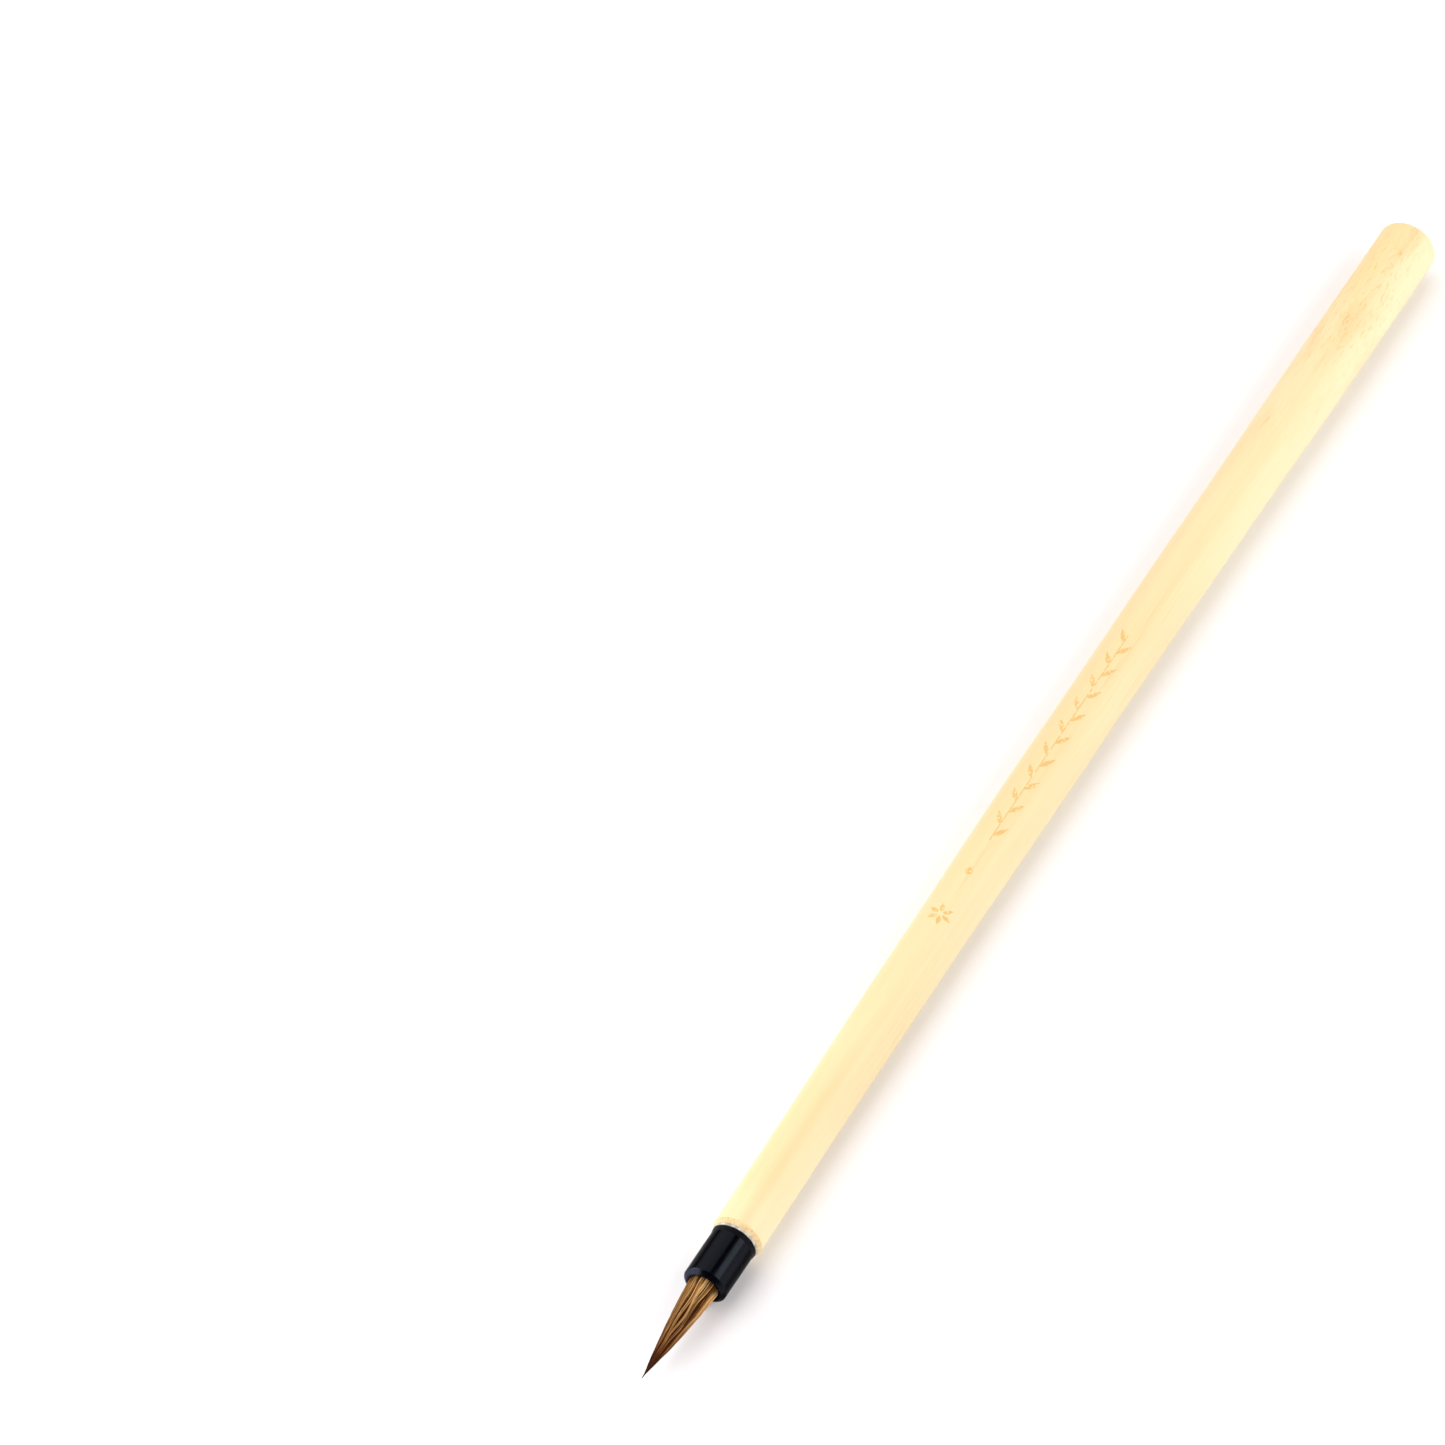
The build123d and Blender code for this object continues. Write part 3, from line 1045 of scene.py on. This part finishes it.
def build_hair(mantle_hair, core_hair):
    """Mantle and core hair in three lengths, cut halfway between the bends; each stands in for the
    CAD hair of its length.
    """
    locks = Locks(seed=3)
    rng = np.random.default_rng(21)
    mantle = strands(
        rng,
        MANTLE_STRANDS,
        depth=(0.93, 1.0),
        tones=(0.22, 1.0),
        reach=(0.45, 0.86),
        thickness=(0.06, 0.10),
        gather=(0.35, 0.8),
    )
    core = strands(
        rng,
        CORE_STRANDS,
        depth=(0.66, 0.92),
        tones=(0.0, 0.3),
        reach=(0.90, 1.0),
        thickness=(0.06, 0.10),
        gather=(0.0, 0.3),
    )
    names = ["belly", "throat", "point"]
    stood_for = [
        ("core_root", "core_belly", "mantle_root", "mantle_belly"),
        ("core_throat", "mantle_throat"),
        ("core_point",),
    ]
    for zone, name in enumerate(names):
        x = zone_stations(zone)
        core_parts = [inner_body(x, CORE_SHARE), *layer_parts(core, x, locks)]
        inner = hair_piece(f"core_hair_{name}", core_parts, core_hair)
        outer = hair_piece(f"mantle_hair_{name}", layer_parts(mantle, x, locks), mantle_hair)
        for piece, slot, kind in ((inner, "core_hair", "core"), (outer, "mantle_hair", "mantle")):
            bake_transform(piece)
            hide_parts(*[node for node in stood_for[zone] if node.startswith(kind)])


# ------------------------------------------------------------------ stage, light and camera

CAMERA_AZIMUTH = 118.705
CAMERA_ELEVATION = 50.0
CAMERA_DISTANCE = 1.2
CAMERA_AIM = Vector((0.00968, -0.04617, 0.0))
CAMERA_LENS = 213.06

TABLE_HALF = 4.0
SKY_COLOUR = (1.0, 0.935, 0.945, 1)
SKY_STRENGTH = 1.4
SEAM_NORMAL = (0.0, 0.961, -0.276)
SEAM_DIMNESS = 0.03


def toward(azimuth, elevation):
    """Unit vector from the object to a point at this azimuth and elevation, in degrees."""
    a, e = math.radians(azimuth), math.radians(elevation)
    return Vector((math.sin(a) * math.cos(e), -math.cos(a) * math.cos(e), math.sin(e)))


def aimed(thing, azimuth, elevation, distance, aim):
    """Puts a camera or light at this direction and distance from aim, facing it."""
    direction = toward(azimuth, elevation)
    thing.location = aim + direction * distance
    thing.rotation_euler = (-direction).to_track_quat("-Z", "Y").to_euler()
    bpy.context.scene.collection.objects.link(thing)


def add_soft_light(name, azimuth, elevation, distance, size, watts, colour, aim=Vector((0, 0, 0))):
    """Round softbox, itself out of the camera's sight."""
    light = bpy.data.lights.new(name, "AREA")
    light.shape = "DISK"
    light.size = size
    light.energy = watts
    light.color = colour
    lamp = bpy.data.objects.new(name, light)
    lamp.visible_camera = False
    aimed(lamp, azimuth, elevation, distance, aim)


def build_floor():
    """Plain white table."""
    floor_z = cad_box[0].z
    mesh = bpy.data.meshes.new("table")
    signs = [(-1, -1), (1, -1), (1, 1), (-1, 1)]
    corners = [(x * TABLE_HALF, y * TABLE_HALF, floor_z) for x, y in signs]
    mesh.from_pydata(corners, [], [(0, 1, 2, 3)])
    table = bpy.data.objects.new("table", mesh)
    bpy.context.scene.collection.objects.link(table)
    s = Shader("table_white", roughness=0.6, specular=0.2)
    s.surface.inputs["Base Color"].default_value = linear(240, 241, 242)
    mesh.materials.append(s.material)


def build_world():
    """White tent round the table, with a dim seam overhead and a dim corner low on one side."""
    world = bpy.data.worlds.new("studio")
    world.use_nodes = True
    nodes, links = world.node_tree.nodes, world.node_tree.links
    direction = nodes.new("ShaderNodeTexCoord").outputs["Generated"]
    split = nodes.new("ShaderNodeSeparateXYZ")
    links.new(direction, split.inputs["Vector"])
    across = nodes.new("ShaderNodeVectorMath")
    across.operation = "DOT_PRODUCT"
    across.inputs[1].default_value = SEAM_NORMAL
    links.new(direction, across.inputs[0])
    from_seam = math_node(nodes, links, "ABSOLUTE", across.outputs["Value"], 0)
    seam = levels_node(nodes, links, from_seam, 0.10, 0.26, SEAM_DIMNESS, 1.0)
    low_sky = levels_node(nodes, links, split.outputs["Z"], 0.3, 0.5, 1.0, 0.0)
    seam = math_node(nodes, links, "MAXIMUM", seam, low_sky)
    corner = levels_node(nodes, links, split.outputs["Z"], 0.02, 0.24, SEAM_DIMNESS, 1.0)
    other_side = levels_node(nodes, links, split.outputs["Y"], -0.6, -0.35, 0.0, 1.0)
    in_front = levels_node(nodes, links, split.outputs["X"], -0.1, 0.15, 0.0, 1.0)
    elsewhere = math_node(nodes, links, "MAXIMUM", other_side, in_front)
    corner = math_node(nodes, links, "MAXIMUM", corner, elsewhere)
    brightness = math_node(nodes, links, "MULTIPLY", seam, corner)
    background = nodes["Background"]
    background.inputs["Color"].default_value = SKY_COLOUR
    strength = math_node(nodes, links, "MULTIPLY", brightness, SKY_STRENGTH)
    links.new(strength, background.inputs["Strength"])
    bpy.context.scene.world = world


def build_camera():
    """Long lens from in front of the brush and above it."""
    data = bpy.data.cameras.new("camera")
    data.lens = CAMERA_LENS
    data.sensor_width = 36.0
    data.clip_start, data.clip_end = 0.05, 20.0
    camera = bpy.data.objects.new("camera", data)
    aimed(camera, CAMERA_AZIMUTH, CAMERA_ELEVATION, CAMERA_DISTANCE, CAMERA_AIM)
    bpy.context.scene.camera = camera


# ------------------------------------------------------------------ assembly


def dress_hidden_nodes():
    """Materials for the CAD nodes inside the brush, which stay as they are."""
    finishes = {
        "root_resin": plain_grained("amber_resin", (150, 92, 34), 0.25, 900),
        "root_thread": plain_grained("cotton_thread", (232, 224, 205), 0.8, 5000),
        "hair_glue": plain_grained("clear_glue", (214, 205, 180), 0.3, 1200),
    }
    for node, material in finishes.items():
        mesh = frame["nodes"][node].data
        mesh.materials.clear()
        mesh.materials.append(material)


def ride_handle(piece, slot, *nodes):
    """A piece that moves with the handle, and the CAD nodes it stands for; its material slot is not
    used.
    """
    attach(piece, "handle")
    if nodes:
        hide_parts(*nodes)


relief = CulmRelief(seed=4)
ride_handle(build_handle(relief, bamboo_skin(), bamboo_end_grain()), "bamboo", "bamboo_handle")
ride_handle(build_ferrule(black_plastic(), dull_black_plastic()), "ferrule_plastic", "ferrule")
ride_handle(build_glue_bead(dried_glue()), "glue", "ferrule_glue")
ride_handle(build_print(relief, printed_ink()), "bamboo")
build_hair(hair_material("mantle_hair", 0.25), hair_material("core_hair", 0.4))
dress_hidden_nodes()

build_floor()
build_world()
add_soft_light("key", 15, 55, distance=1.4, size=1.4, watts=4.9, colour=(0.9, 1.0, 1.0))
add_soft_light(
    "by_mouth",
    5,
    24,
    distance=0.08,
    size=0.05,
    watts=0.02,
    colour=(1.0, 1.0, 1.0),
    aim=axis_at(0.085),
)
add_soft_light(
    "by_butt",
    175,
    42,
    distance=0.35,
    size=0.22,
    watts=0.34,
    colour=(1.0, 0.98, 0.94),
    aim=axis_at(-0.1),
)
build_camera()
bpy.context.scene.view_settings.view_transform = "Standard"
